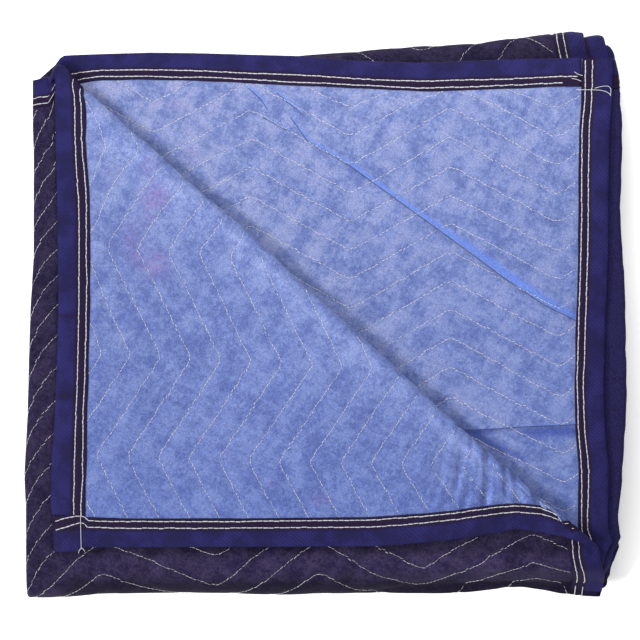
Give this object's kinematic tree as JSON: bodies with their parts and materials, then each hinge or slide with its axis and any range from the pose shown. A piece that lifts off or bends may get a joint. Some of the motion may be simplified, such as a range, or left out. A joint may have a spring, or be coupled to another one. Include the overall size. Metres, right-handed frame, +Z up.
{
  "type": "moving blanket",
  "caption": "Quilted furniture blanket with bound edges, folded into a flat stack with one top corner turned back.",
  "frame": {"origin": "centre of the stack's outline, on the surface that it lies on", "axes": "+X to the right along the stack's width, +Y to the back, where the open bound edges lie, +Z up"},
  "size_m": [0.5118, 0.4838, 0.0683],
  "materials": {
    "quilted_cloth": "soft non-woven face, light blue inside and dark navy outside, zigzag quilted in white thread",
    "binding_tape": "plain woven tape, dark navy",
    "thread": "white spun polyester thread"
  },
  "bodies": {
    "root": {"quilt": "quilted_cloth", "binding_top_end": "binding_tape", "binding_second_end": "binding_tape", "binding_back_edge": "binding_tape", "binding_hidden_edge": "binding_tape"}
  },
  "joints": []
}
